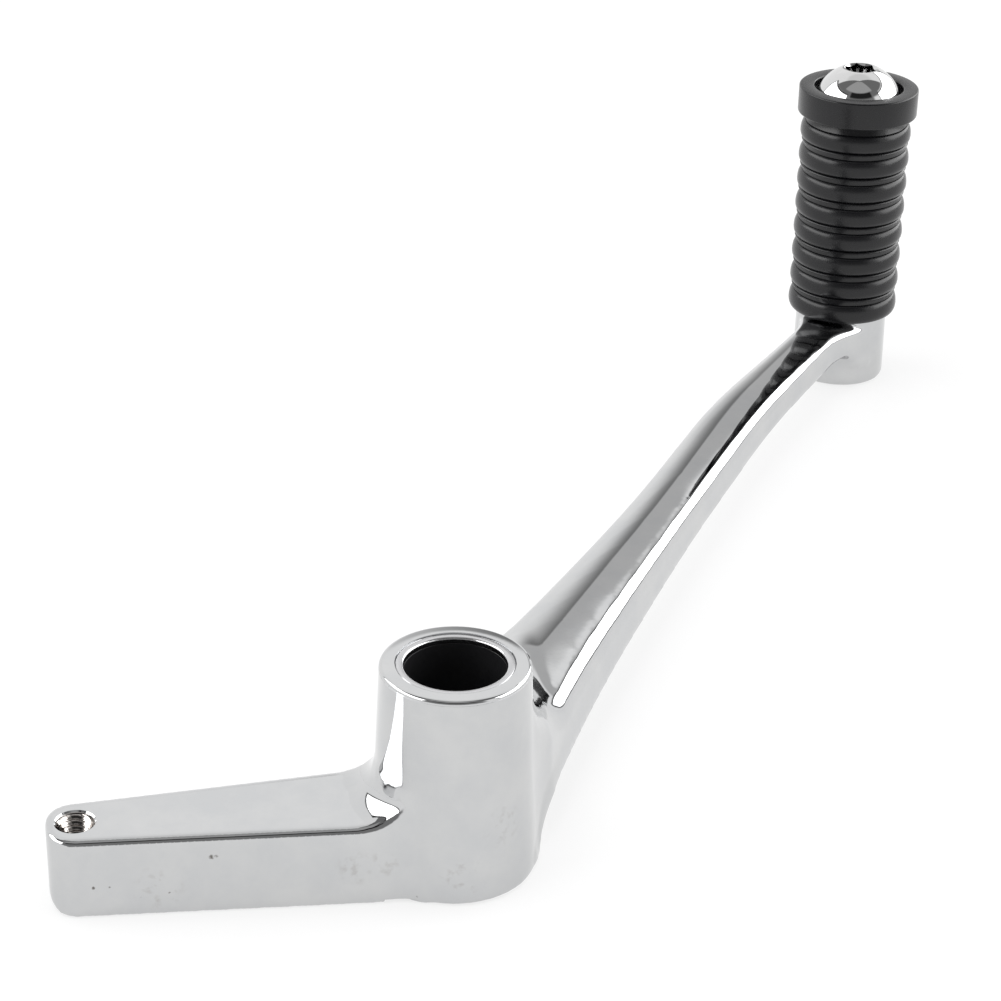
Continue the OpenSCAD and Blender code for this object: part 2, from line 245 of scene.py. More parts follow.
# %% Curves that the sections follow
def hollow(distance, radius):
    """Rise of a hollow sweep at a distance from the wall that it meets."""
    if distance >= radius:
        return 0.0
    if distance <= 0:
        return radius
    return radius - math.sqrt(radius ** 2 - (radius - distance) ** 2)


def along(values, t):
    """Smooth curve through evenly spaced values, t from 0 to 1."""
    n = len(values) - 1
    x = min(max(t, 0), 1) * n
    i = min(int(x), n - 1)
    f = x - i
    a, b, c, d = values[max(i - 1, 0)], values[i], values[i + 1], values[min(i + 2, n)]
    return b + f * ((c - a) / 2 + f * (a - 2.5 * b + 2 * c - d / 2
                                      + f * (1.5 * (b - c) + (d - a) / 2)))


def side_sweep(x, half, wall, radius):
    """What the sweep into a round wall adds to the half width at x."""
    inner_slope = 0.6
    start = math.sqrt(max((wall + radius) ** 2 - (half + radius) ** 2, 1))
    meet = start * wall / (wall + radius)
    if x >= start:
        return 0.0
    if x >= meet:
        return radius - math.sqrt(radius ** 2 - (start - x) ** 2)
    return radius - math.sqrt(radius ** 2 - (start - meet) ** 2) - inner_slope * (meet - x)


def half_section(width, low, high, crown, top_r, low_r, power=2.0):
    """One side of a section as (y, z): crowned top, rounded edge, drafted side, foot."""
    flat = width - top_r
    slope = math.atan(power * crown / flat)
    rim = high - top_r * (1 - math.cos(slope))
    spread = (high - low) * DRAFT
    top = [(v * (flat + top_r * math.sin(slope)), rim + crown * (1 - v ** power))
           for v in (i / 10 for i in range(11))]
    edge = [(flat + top_r * math.cos(a), high - top_r + top_r * math.sin(a))
            for a in ((math.pi / 2 - slope) * (1 - i / 8) for i in range(1, 9))]
    foot = [(width + spread - low_r + low_r * math.cos(a), low + low_r + low_r * math.sin(a))
            for a in (-math.pi / 2 * i / 6 for i in range(7))]
    side = [(edge[-1][0] + (foot[0][0] - edge[-1][0]) * f,
             edge[-1][1] + (foot[0][1] - edge[-1][1]) * f) for f in (0.25, 0.5, 0.75)]
    last = foot[-1]
    return top + edge + side + foot + [(last[0] * 0.66, last[1]), (last[0] * 0.33, last[1])]


def whole_section(left, right):
    return left + [(0.0, left[-1][1])] + [(-y, z) for y, z in reversed(right[1:])]


# %% [markdown]
# The long arm's middle line bends softly outwards before the boss. The back half of its top is
# crowned, and the front half is nearly flat with a broad rounded edge, which is where the long
# white streak lies. A point near the hub is lifted by a hollow sweep, which is long at the back
# and short at the front, and the sides widen until they touch the round wall at every height.

# %% Middle line of the long arm
def middle_y(x):
    """Two straight runs with a soft bend between them."""
    up, down = BEND_Y / BEND_X, -BEND_Y / (PEG_X - BEND_X)
    d = x - BEND_X
    f = min(max(d / BEND_BLEND, -1), 1)
    if f <= -1:
        return BEND_Y + up * d
    if f >= 1:
        return BEND_Y + down * d
    return BEND_Y + BEND_BLEND * (up * (2 * f - f * f - 1) + down * (f + 1) ** 2) / 4


# %% Sections of the long arm
BACK, FRONT = 1, -1


def long_side(x, side, depth):
    """Half width before any sweep, and one side of the section."""
    t = (x - ROOT_X) / (NECK_X - ROOT_X)
    near = min(max(1 - (x - ROOT_X) / FLARE_LEN, 0), 1)
    half = along(ARM_WIDTHS, t) / 2 + FLARE * near ** 2
    soft = min(max(1 - (x - ROOT_X / 2) / ROOT_X, 0), 1) ** 2
    back_crown = along(ARM_CROWNS, t)
    if side == BACK:
        edge_r = BACK_EDGE_R + (ROOT_EDGE_R - BACK_EDGE_R) * soft
        return half, half_section(half, ARM_LOW, ARM_LOW + depth, back_crown, edge_r, LOW_EDGE_R)
    edge_r = min(FRONT_EDGE_R, half * EDGE_SHARE)
    edge_r += (ROOT_EDGE_R - edge_r) * soft
    crown = FACET_FALL * (half - edge_r)
    back_rim = back_crown + BACK_EDGE_R * (math.cos(2 * back_crown / half) - 1)
    return half, half_section(half, ARM_LOW, ARM_LOW + depth + back_rim - crown, crown, edge_r,
                              LOW_EDGE_R, power=1.3)


def long_section(x):
    """The whole section at x, as points in the frame."""
    depth = along(ARM_DEPTHS, (x - ROOT_X) / (NECK_X - ROOT_X))
    back_half, back = long_side(x, BACK, depth)
    front_half, front = long_side(x, FRONT, depth)
    hub_gap, boss_gap, boss_foot = 0.005, 0.02, 0.3
    ring = []
    for y, z in whole_section(back, front):
        side = BACK if y >= 0 else FRONT
        share = 0.5 + 0.5 * math.sin(math.pi / 2 * min(max(y / (ROOT_X * 0.8), -1), 1))
        high = z
        if z > ARM_LOW + depth / 2:
            stretch = TOP_COVE_R / (FRONT_COVE + (BACK_COVE - FRONT_COVE) * share)
            z += hollow((math.hypot(x, middle_y(x) + y) - TOP_COVE_X) * stretch, TOP_COVE_R)
        else:
            to_boss = math.hypot(x - PEG_X, middle_y(x) + y) - BOSS_LOW_R + boss_foot
            z -= hollow(math.hypot(x, middle_y(x) + y) - LOW_COVE_X, LOW_COVE_R)
            z -= hollow(to_boss, LOW_COVE_R / 2)
        widen = max(ARM_LOW + depth - high, 0) * DRAFT
        half = (back_half if side == BACK else front_half) + widen
        if x < PEG_X / 2:
            at_hub = ARM_WIDTHS[0] / 2 + FLARE + widen + side * middle_y(ROOT_X)
            grow = side_sweep(x, at_hub, hub_radius(z) - hub_gap, ROOT_SWEEP)
        else:
            at_boss = ARM_WIDTHS[-1] / 2 + side * middle_y(NECK_X) / 2 + widen
            grow = side_sweep(PEG_X - x, at_boss, BOSS_LOW_R - boss_gap,
                              BOSS_SWEEP[0 if side == BACK else 1])
        ring.append((x, middle_y(x) + y * (1 + grow / half), z))
    return ring


# %% [markdown]
# The short arm is plainer: a flat block that narrows to a round tip. It is drawn along its own
# X axis and then swung round the hub.

# %% Sections of the short arm
def short_half(x):
    """Half width at a distance from the hub's axis."""
    x = max(x, SHORT_ROOT_X)
    share = (SHORT_REACH - x) / (SHORT_REACH - SHORT_ROOT_X)
    return SHORT_TIP_R + (SHORT_ROOT_W / 2 - SHORT_TIP_R) * share


def end_drop(x, radius):
    """How far the rounding of the tip has fallen at x."""
    d = x - (SHORT_REACH + SHORT_TIP_LEN - radius)
    return 0.0 if d <= 0 else radius - math.sqrt(max(radius ** 2 - d * d, 0))


def short_section(x, width):
    """The whole section at x, as points in the frame."""
    sides = []
    for side in (SHORT_FRONT, SHORT_BACK):
        root = short_half(SHORT_ROOT_X) + side * SHORT_SET
        half = width + side * SHORT_SET * (1 - x / SHORT_REACH)
        half += side_sweep(x, root, SHORT_ROOT_X - SHORT_SINK, SHORT_SWEEP)
        edge_r = SHORT_FRONT_EDGE_R if side == SHORT_FRONT else SHORT_BACK_EDGE_R
        sides.append(half_section(half, end_drop(x, TIP_LOW_R), SHORT_H - end_drop(x, TIP_TOP_R),
                                  0, edge_r, SHORT_LOW_EDGE_R))
    turn_by = math.radians(SHORT_ANGLE)
    ring = []
    for y, z in whole_section(*sides):
        if z > SHORT_H / 2:
            z += hollow(math.hypot(x, y) - SHORT_ROOT_X + SHORT_SINK, SHORT_COVE)
        ring.append((x * math.cos(turn_by) - y * math.sin(turn_by),
                     x * math.sin(turn_by) + y * math.cos(turn_by), z))
    return ring


# %% [markdown]
# A grid has its faces in rows, so it makes a clean loft: one column of vertices is laid on each
# section, the seam is merged, and the two open ends are filled.

# %% Roll a grid into a tube, one column for each section
def loft(rings):
    """Closed skin through all the sections."""
    count, around = len(rings), len(rings[0])
    bpy.ops.mesh.primitive_grid_add(x_subdivisions=around, y_subdivisions=count - 1, size=1)
    item = bpy.context.object
    points = [ring[i % around] for ring in rings for i in range(around + 1)]
    for vertex, point in zip(item.data.vertices, points):
        vertex.co = Vector(point) * MM
    item.data.update()
    edit(item)
    bpy.ops.mesh.remove_doubles(threshold=CLOSE * MM)
    bpy.ops.mesh.fill_holes(sides=0)
    bpy.ops.mesh.normals_make_consistent(inside=False)
    done()
    return item

# %% Loft both arms
# Stations stand closer together at the hub and at the boss, where the sides curve most.
FINE, COARSE = 0.5, 1.0
long_stations = [x * FINE for x in range(0, 80)] + [40 + x * COARSE for x in range(0, 140)]
long_stations += [180 + x * FINE for x in range(0, 59)]
long_arm = loft([long_section(x) for x in long_stations])
short_stations = [x * FINE for x in range(0, 119)]
short_rings = [short_section(x, short_half(x)) for x in short_stations]
TIP_STEPS, TIP_SWING, TIP_END_R = 24, 85, 1.1
for i in range(1, TIP_STEPS + 1):
    swing = math.radians(TIP_SWING * i / TIP_STEPS)
    short_rings.append(short_section(SHORT_REACH + SHORT_TIP_LEN * math.sin(swing),
                                     TIP_END_R + (SHORT_TIP_R - TIP_END_R) * math.cos(swing)))
short_arm = loft(short_rings)
print("long arm", triangles(long_arm), "short arm", triangles(short_arm))

# %% [markdown]
# ## One skin over hub, arms and boss
# The four shapes overlap, as clay would before it is smoothed. A voxel remesh wraps them in one
# even skin, and a few rounds of smoothing melt the seams, which is just what polishing does to
# the real casting. Both posts are left a little too high, for the cutters to trim.

# %% Wrap the shapes and polish the skin
FOOT_R, HUB_SPARE, BOSS_SPARE = 0.6, 1.5, 1.2
SKIN_STEP, POLISH_ROUNDS = 0.46, 9


def post(low_r, top_r, top, axis_x=0):
    """Tapered post with a rounded foot."""
    return turn([(0, 0)] + arc((low_r - FOOT_R, FOOT_R), FOOT_R, -90, 0, 6)
                + [(top_r, top), (0, top)], axis_x, open_at_axis=True)


hub_post = post(HUB_LOW_R, HUB_TOP_R - 0.05, HUB_H + HUB_SPARE)
boss_post = post(BOSS_LOW_R, BOSS_TOP_R, BOSS_H + BOSS_SPARE, PEG_X)
pick(long_arm, short_arm, hub_post, boss_post)
bpy.ops.object.join()
casting = bpy.context.object
modify(casting, "REMESH", mode="VOXEL", voxel_size=SKIN_STEP * MM, adaptivity=0)
modify(casting, "SMOOTH", factor=0.5, iterations=POLISH_ROUNDS)
print("skin", triangles(casting))

# %% [markdown]
# The real casting is machined last: both tops are faced, the bores are drilled, and the hub's
# foot has a small step. Exact booleans cut them out of the finished skin with crisp edges.

# %% Cut the machined faces, the bores and the relief under the hub
def bar(axis_x, radius, low, high, steps=192):
    """Round cutter that stands on end."""
    return turn([(0, low), (radius, low), (radius, high), (0, high)], axis_x, steps,
                open_at_axis=True)


HUB_EDGE_R, FACING_R, BOLT_BORE_R = 0.7, 12.0, 5.05
RELIEF_R, RELIEF_H = 16.4, 0.7
LINK_R, LINK_MOUTH_R, LINK_MOUTH_H = 3.0, 3.35, 0.25
cut(casting, turn([(0, HUB_H)] + arc((HUB_TOP_R + 0.02 - HUB_EDGE_R, HUB_H - HUB_EDGE_R),
                                     HUB_EDGE_R, 90, -8, 10)
                  + [(HUB_TOP_R + 3, HUB_H - 0.6), (HUB_TOP_R + 3, HUB_H + 4), (0, HUB_H + 4)],
                  steps=192, open_at_axis=True))
cut(casting, bar(0, HUB_BORE_R, -1, HUB_H + 1))
cut(casting, bar(PEG_X, FACING_R, BOSS_H, BOSS_H + 3))
cut(casting, bar(PEG_X, BOLT_BORE_R, -1, BOSS_H + 1, 96))
cut(casting, turn([(HUB_LOW_R, -1), (RELIEF_R, -1), (RELIEF_R, RELIEF_H), (HUB_LOW_R, RELIEF_H)],
                  steps=192))
hole_x = SHORT_REACH * math.cos(math.radians(SHORT_ANGLE))
hole_y = SHORT_REACH * math.sin(math.radians(SHORT_ANGLE))
hole = turn([(0, -1), (LINK_R, -1), (LINK_R, SHORT_H - LINK_MOUTH_H),
             (LINK_MOUTH_R, SHORT_H + 0.1), (LINK_MOUTH_R, SHORT_H + 1), (0, SHORT_H + 1)],
            steps=96, open_at_axis=True)
hole.data.transform(Matrix.Translation((hole_x * MM, hole_y * MM, 0)))
cut(casting, hole)
print("casting", triangles(casting))

# %% [markdown]
# ## Finishes
# Chrome plate has almost no colour of its own. What makes it look real is that it isn't quite
# flat: polishing leaves slow waves, and the plate has a few pits and a haze of fine wipe marks.
# The plate and the rubber use the same kind of slow wave, so it is built once as a node group.

# %% Node helpers
def fill(tree, node, inputs):
    """Fill the inputs of a node from values or sockets."""
    for key, value in inputs.items():
        if isinstance(value, bpy.types.NodeSocket):
            tree.links.new(value, node.inputs[key])
        else:
            node.inputs[key].default_value = value


def add(tree, kind, inputs=None, **settings):
    """Add a node, set its properties and fill its inputs."""
    node = tree.nodes.new(kind)
    for key, value in settings.items():
        setattr(node, key, value)
    fill(tree, node, inputs or {})
    return node


def group(name, inputs, outputs):
    """New node group, with its input node and its output node."""
    tree = bpy.data.node_groups.new(name, "ShaderNodeTree")
    for label, kind, value in inputs:
        socket = tree.interface.new_socket(name=label, in_out="INPUT", socket_type=kind)
        if value is not None:
            socket.default_value = value
    for label, kind in outputs:
        tree.interface.new_socket(name=label, in_out="OUTPUT", socket_type=kind)
    return tree, tree.nodes.new("NodeGroupInput"), tree.nodes.new("NodeGroupOutput")


def new_material(name):
    """New material, with its node tree and its main shader."""
    made = bpy.data.materials.new(name)
    made.use_nodes = True
    tree = made.node_tree
    return made, tree, tree.nodes["Principled BSDF"]


# %% Group: slow waves and fine grain as one height
waves, wave_in, wave_out = group(
    "slow_waves",
    [("Vector", "NodeSocketVector", None), ("Wave size", "NodeSocketFloat", 60.0),
     ("Grain size", "NodeSocketFloat", 900.0), ("Grain share", "NodeSocketFloat", 0.1)],
    [("Height", "NodeSocketFloat")])
slow = add(waves, "ShaderNodeTexNoise", {"Vector": wave_in.outputs["Vector"],
                                         "Scale": wave_in.outputs["Wave size"],
                                         "Detail": 1.0, "Roughness": 0.4})
fine = add(waves, "ShaderNodeTexNoise", {"Vector": wave_in.outputs["Vector"],
                                         "Scale": wave_in.outputs["Grain size"], "Detail": 2.0})
both = add(waves, "ShaderNodeMix", {0: wave_in.outputs["Grain share"], 2: slow.outputs["Fac"],
                                    3: fine.outputs["Fac"]})
waves.links.new(both.outputs[0], wave_out.inputs["Height"])
print("slow_waves", len(waves.nodes), "nodes")

# %% [markdown]
# Used plate has pinholes. Cells of a Voronoi texture make round specks at random places, and a
# threshold on each cell's own colour keeps only a few of them.

# %% Group: small pits at random places
pits, pit_in, pit_out = group(
    "pits",
    [("Vector", "NodeSocketVector", None), ("Scale", "NodeSocketFloat", 150.0),
     ("Size", "NodeSocketFloat", 0.06), ("Thin out", "NodeSocketFloat", 0.85)],
    [("Mask", "NodeSocketFloat")])
cells = add(pits, "ShaderNodeTexVoronoi", {"Vector": pit_in.outputs["Vector"],
                                           "Scale": pit_in.outputs["Scale"], "Randomness": 1.0})
small = add(pits, "ShaderNodeMapRange", {"Value": cells.outputs["Distance"],
                                         "From Min": pit_in.outputs["Size"], "From Max": 0.0})
tone = add(pits, "ShaderNodeSeparateColor", {"Color": cells.outputs["Color"]})
chosen = add(pits, "ShaderNodeMath", {0: tone.outputs[0], 1: pit_in.outputs["Thin out"]},
             operation="GREATER_THAN")
kept = add(pits, "ShaderNodeMath", {0: small.outputs[0], 1: chosen.outputs[0]},
           operation="MULTIPLY", use_clamp=True)
pits.links.new(kept.outputs[0], pit_out.inputs["Mask"])
print("pits", len(pits.nodes), "nodes")

# %% [markdown]
# The larger pits and the dull smudges of this lever stand in certain places, so these are
# written down. Each one is a round spot, a mask that falls with the distance from its centre.

# %% Group: one round spot at a given place
spot_tree, spot_in, spot_out = group(
    "spot",
    [("Vector", "NodeSocketVector", None), ("Centre", "NodeSocketVector", None),
     ("Radius", "NodeSocketFloat", 0.0005)],
    [("Mask", "NodeSocketFloat")])
apart = add(spot_tree, "ShaderNodeVectorMath", {0: spot_in.outputs["Vector"],
                                                1: spot_in.outputs["Centre"]},
            operation="DISTANCE")
spot_ramp = add(spot_tree, "ShaderNodeMapRange", {"Value": apart.outputs["Value"],
                                                  "From Min": spot_in.outputs["Radius"],
                                                  "From Max": 0.0, "To Max": 2.0})
spot_cap = add(spot_tree, "ShaderNodeMath", {0: spot_ramp.outputs[0], 1: 1.0}, operation="MINIMUM")
spot_tree.links.new(spot_cap.outputs[0], spot_out.inputs["Mask"])
print("spot", len(spot_tree.nodes), "nodes")

# %% Places of the larger pits and smudges that the photo shows, in mm
# On the short arm: distance from the hub's axis, height, radius.
ARM_PITS = [(57, 5.5, 0.35), (54.5, 5.5, 0.25), (50, 3.5, 0.4), (47.5, 5, 0.25), (45.5, 4, 0.3),
            (43.5, 3, 0.25), (39, 10, 0.5), (38.2, 10.1, 0.4), (17.5, 5, 0.3), (12, 1.5, 0.3)]
ARM_SMUDGES = [(47, 4.5, 4.5), (17, 6.5, 3.5), (12.5, 7, 3.0)]
# On the hub: angle in degrees, height, radius.
HUB_PITS = [(-118, 16.5, 0.4), (-122, 10.5, 0.25), (-173, 7, 0.3), (178, 1.5, 0.3)]
HUB_SMUDGES = [(-120, 13, 4.0), (-150, 5, 4.0)]


def on_short_arm(distance, up):
    """Point on the side of the short arm that the photo shows."""
    beside = short_half(distance) + SHORT_SET * (1 - distance / SHORT_REACH)
    turned_by = math.radians(SHORT_ANGLE)
    return Vector((distance * math.cos(turned_by) - beside * math.sin(turned_by),
                   distance * math.sin(turned_by) + beside * math.cos(turned_by), up)) * MM


def on_hub(angle, up):
    """Point on the hub's tapered wall."""
    around = math.radians(angle)
    return Vector((hub_radius(up) * math.cos(around), hub_radius(up) * math.sin(around), up)) * MM


def spots(tree, where, places):
    """Mask of all these (centre, radius in mm) spots together."""
    total = 0.0
    for centre, radius in places:
        node = add(tree, "ShaderNodeGroup", {"Vector": where, "Centre": centre,
                                             "Radius": radius * MM}, node_tree=spot_tree)
        total = add(tree, "ShaderNodeMath", {0: total, 1: node.outputs[0]},
                    operation="MAXIMUM").outputs[0]
    return total


pit_places = [(on_short_arm(d, up), r) for d, up, r in ARM_PITS]
pit_places += [(on_hub(angle, up), r) for angle, up, r in HUB_PITS]
smudge_places = [(on_short_arm(d, up), r) for d, up, r in ARM_SMUDGES]
smudge_places += [(on_hub(angle, up), r) for angle, up, r in HUB_SMUDGES]
print(len(pit_places), "pits and", len(smudge_places), "smudges")

# %% [markdown]
# The plate is a plain metal with a low roughness. Its waves are only a bump, because real ones
# are thinner than a hair. A haze of wipe marks varies the roughness, so that the reflections
# have sharp edges in one place and soft ones in the next.

# %% Chrome plate: waves and haze
chrome, tree, shader = new_material("chrome_plate")
place = add(tree, "ShaderNodeTexCoord").outputs["Object"]
wave = add(tree, "ShaderNodeGroup", {"Vector": place, "Wave size": 70.0, "Grain size": 1500.0,
                                     "Grain share": 0.02}, node_tree=waves)
bump = add(tree, "ShaderNodeBump", {"Strength": 0.12, "Distance": 0.0004,
                                    "Height": wave.outputs["Height"]})
haze = add(tree, "ShaderNodeTexNoise", {"Vector": place, "Scale": 45.0, "Detail": 4.0})
rough = add(tree, "ShaderNodeMapRange", {"Value": haze.outputs["Fac"], "From Min": 0.35,
                                         "From Max": 0.75, "To Min": 0.03, "To Max": 0.075})
fill(tree, shader, {"Metallic": 1.0, "Normal": bump.outputs["Normal"],
                    "Roughness": rough.outputs[0]})
print("plate so far", len(tree.nodes), "nodes")

# %% Chrome plate: pits and smudges
# The random pits are kept to the lowest 12 mm, where road dirt gathers.
pit = add(tree, "ShaderNodeGroup", {"Vector": place}, node_tree=pits)
height = add(tree, "ShaderNodeSeparateXYZ", {0: place})
low_down = add(tree, "ShaderNodeMapRange", {"Value": height.outputs["Z"], "From Min": 0.012,
                                            "From Max": 0.002})
pit_low = add(tree, "ShaderNodeMath", {0: pit.outputs[0], 1: low_down.outputs[0]},
              operation="MULTIPLY")
# A pit is bent a little out of round, and a smudge is broken up into flecks.
bent = add(tree, "ShaderNodeTexNoise", {"Vector": place, "Scale": 1400.0, "Detail": 2.0})
shifted = add(tree, "ShaderNodeMix", {0: 0.0006, 4: place, 5: bent.outputs["Color"]},
              data_type="VECTOR", clamp_factor=True)
all_pits = add(tree, "ShaderNodeMath", {0: pit_low.outputs[0],
                                        1: spots(tree, shifted.outputs[1], pit_places)},
               operation="MAXIMUM")
flecks = add(tree, "ShaderNodeTexNoise", {"Vector": place, "Scale": 700.0, "Detail": 3.0})
fleck = add(tree, "ShaderNodeMapRange", {"Value": flecks.outputs["Fac"], "From Min": 0.52,
                                         "From Max": 0.68, "To Max": 0.26})
smudge = add(tree, "ShaderNodeMath", {0: fleck.outputs[0],
                                      1: spots(tree, place, smudge_places)},
             operation="MULTIPLY")
print("plate so far", len(tree.nodes), "nodes")

# %% Chrome plate: colour
# Chrome has a faint cold tint. Smudges are warmer and duller, and pits are nearly black.
PLATE_DULL, PLATE_CLEAN = (0.538, 0.544, 0.552, 1), (0.575, 0.578, 0.58, 1)
SMUDGE_COLOUR, PIT_COLOUR = (0.3, 0.28, 0.25, 1), (0.16, 0.15, 0.14, 1)
cloud = add(tree, "ShaderNodeTexNoise", {"Vector": place, "Scale": 110.0, "Detail": 4.0,
                                         "Roughness": 0.6})
clouded = add(tree, "ShaderNodeMapRange", {"Value": cloud.outputs["Fac"], "From Min": 0.35,
                                           "From Max": 0.65})
plate = add(tree, "ShaderNodeMix", {0: clouded.outputs[0], 6: PLATE_DULL, 7: PLATE_CLEAN},
            data_type="RGBA")
smeared = add(tree, "ShaderNodeMix", {0: smudge.outputs[0], 6: plate.outputs[2],
                                      7: SMUDGE_COLOUR}, data_type="RGBA")
colour = add(tree, "ShaderNodeMix", {0: all_pits.outputs[0], 6: smeared.outputs[2],
                                     7: PIT_COLOUR}, data_type="RGBA")
fill(tree, shader, {"Base Color": colour.outputs[2]})
print("plate", len(tree.nodes), "nodes")

# %% [markdown]
# One noise each is enough for the small metal parts: it shifts the colour and the roughness
# together, as handling does. The dark parts are polymers, and their broad soft highlights come
# from a rougher surface with a fine grain.

# %% Small metal parts
def plain_metal(name, base, roughness, wave_size):
    """Turned metal whose colour and roughness vary a little together."""
    made, nodes, principled = new_material(name)
    where = add(nodes, "ShaderNodeTexCoord").outputs["Object"]
    noise = add(nodes, "ShaderNodeTexNoise", {"Vector": where, "Scale": wave_size, "Detail": 3.0})
    tint = add(nodes, "ShaderNodeMix", {0: noise.outputs["Fac"], 6: (*[c * 0.85 for c in base], 1),
                                        7: (*base, 1)}, data_type="RGBA")
    spread = add(nodes, "ShaderNodeMapRange", {"Value": noise.outputs["Fac"],
                                               "To Min": roughness * 0.8, "To Max": roughness * 1.3})
    fill(nodes, principled, {"Metallic": 1.0, "Base Color": tint.outputs[2],
                             "Roughness": spread.outputs[0]})
    return made


bush_steel = plain_metal("bush_steel", (0.62, 0.62, 0.63), 0.16, 400)
thread_steel = plain_metal("thread_steel", (0.62, 0.58, 0.55), 0.12, 500)
sleeve_steel = plain_metal("sleeve_steel", (0.4, 0.4, 0.4), 0.3, 300)
bolt_chrome = plain_metal("bolt_chrome", (0.68, 0.68, 0.68), 0.05, 60)
print([paint.name for paint in (bush_steel, thread_steel, sleeve_steel, bolt_chrome)])


# %% Liner and rubber
def dark_polymer(name, base, roughness, wave_size, grain, share, strength):
    """Dark plastic or rubber, with slow waves and a fine grain."""
    made, nodes, principled = new_material(name)
    where = add(nodes, "ShaderNodeTexCoord").outputs["Object"]
    shape = add(nodes, "ShaderNodeGroup",
                {"Vector": where, "Wave size": wave_size, "Grain size": grain,
                 "Grain share": share}, node_tree=waves)
    relief = add(nodes, "ShaderNodeBump", {"Strength": strength, "Distance": 0.0002,
                                           "Height": shape.outputs["Height"]})
    spread = add(nodes, "ShaderNodeMapRange", {"Value": shape.outputs["Height"],
                                               "To Min": roughness - 0.08,
                                               "To Max": roughness + 0.08})
    tint = add(nodes, "ShaderNodeMix", {0: shape.outputs["Height"],
                                        6: (*[c * 0.7 for c in base], 1),
                                        7: (*[c * 1.3 for c in base], 1)}, data_type="RGBA")
    fill(nodes, principled, {"Specular IOR Level": 0.42, "Normal": relief.outputs["Normal"],
                             "Roughness": spread.outputs[0], "Base Color": tint.outputs[2]})
    return made


liner_black = dark_polymer("liner_black", (0.012, 0.012, 0.013), 0.3, 150, 2500, 0.5, 0.15)
peg_rubber_black = dark_polymer("peg_rubber_black", (0.004, 0.004, 0.005), 0.26, 250, 3000, 0.55,
                                0.09)
print([paint.name for paint in (liner_black, peg_rubber_black)])

# %% [markdown]
# The casting is one piece on the real lever, so it stays one object here. Its shading is smooth
# up to 40 degrees, which keeps the machined edges crisp.

# %% Finish the casting
finish_piece(casting, "lever_casting", chrome, ["lever"], smooth=40)

# %% [markdown]
# ## Bush and liner
# A steel bush is pressed into the hub, and its ends are rolled inwards to hold a black liner.
# From above it shows a bright rounded lip, a machined flat and a thin dark line where bush and
# hub meet. All of it is one turned outline.

# %% Turn the bush and the liner
BUSH_H, BUSH_R, LINER_R, BORE_R = 35.88, 9.35, 8.4, 8.0
LIP_ROUND, LIP_H, LINER_LOW, FIT_GAP, CHAMFER = 0.45, 1.05, 0.6, 0.02, 0.2
bush = turn([(BORE_R, CHAMFER), (BORE_R + CHAMFER, 0), (BUSH_R - CHAMFER, 0), (BUSH_R, CHAMFER),
             (BUSH_R, BUSH_H - 0.25), (BUSH_R - 0.2, BUSH_H - 0.03), (BUSH_R - 0.26, BUSH_H),
             (BORE_R + 0.62, BUSH_H)]
            + arc((BORE_R + LIP_ROUND, BUSH_H - LIP_ROUND), LIP_ROUND, 80, 180, 8)
            + [(BORE_R, BUSH_H - LIP_H), (LINER_R + FIT_GAP, BUSH_H - LIP_H),
               (LINER_R + FIT_GAP, LINER_LOW), (BORE_R, LINER_LOW)], steps=192)
finish_piece(bush, "pivot_bush_turned", bush_steel, ["pivot_bush"])
liner_top, liner_foot, liner_edge = BUSH_H - LIP_H - FIT_GAP, LINER_LOW + FIT_GAP, 0.05
liner = turn([(BORE_R + liner_edge, liner_foot), (LINER_R, liner_foot), (LINER_R, liner_top),
              (BORE_R + liner_edge, liner_top), (BORE_R, liner_top - liner_edge),
              (BORE_R, liner_foot + liner_edge)], steps=192)
finish_piece(liner, "bush_liner_tube", liner_black, ["bush_liner"])

# %% [markdown]
# ## The thread for the shift rod
# An M6 thread climbs 1 mm a turn. One tooth of it is drawn, and the Screw modifier carries it up
# the hole. It starts below the floor and ends above the arm, and both ends are then trimmed to
# the hole's two mouths.

# %% Draw one tooth and wind it up the hole
PITCH, TURNS, TURN_STEPS, THREAD_START = 1, 17, 48, -1.5
tooth = [(3.02, 0.0), (3.0, 0.06), (2.52, 0.42), (2.46, 0.5), (2.52, 0.58), (3.0, 0.94),
         (3.02, 1.0)]


def closes_tooth(a, b):
    """The line from the last point back to the first isn't wanted."""
    return abs(a - b) == len(tooth) - 1


thread = place_outline([(radius, up + THREAD_START) for radius, up in tooth], 0, closes_tooth)
modify(thread, "SCREW", angle=2 * math.pi, screw_offset=PITCH * MM, iterations=TURNS,
       steps=TURN_STEPS, render_steps=TURN_STEPS, use_merge_vertices=True,
       merge_threshold=0.001 * MM, use_smooth_shade=True)
edit(thread)
bpy.ops.mesh.remove_doubles(threshold=CLOSE * MM)
bpy.ops.mesh.normals_make_consistent(inside=True)
done()
print("coil", triangles(thread))

# %% Trim the thread to the hole and put it in place
THREAD_LOW, THREAD_HIGH = 0.3, SHORT_H - 0.28
for height_at, upper in ((THREAD_HIGH, True), (THREAD_LOW, False)):
    edit(thread)
    bpy.ops.mesh.bisect(plane_co=(0, 0, height_at * MM), plane_no=(0, 0, 1), clear_outer=upper,
                        clear_inner=not upper)
    done()
thread.data.transform(Matrix.Translation((hole_x * MM, hole_y * MM, 0)))
finish_piece(thread, "link_thread", thread_steel, smooth=50)

# %% [markdown]
# ## The toe peg
# The peg's rubber is moulded with round ribs. Each rib stands on a thin crisp lip that catches
# the light, and a smooth collar closes the top round the bolt head. The lowest rib has no lip,
# because it stands on the boss.

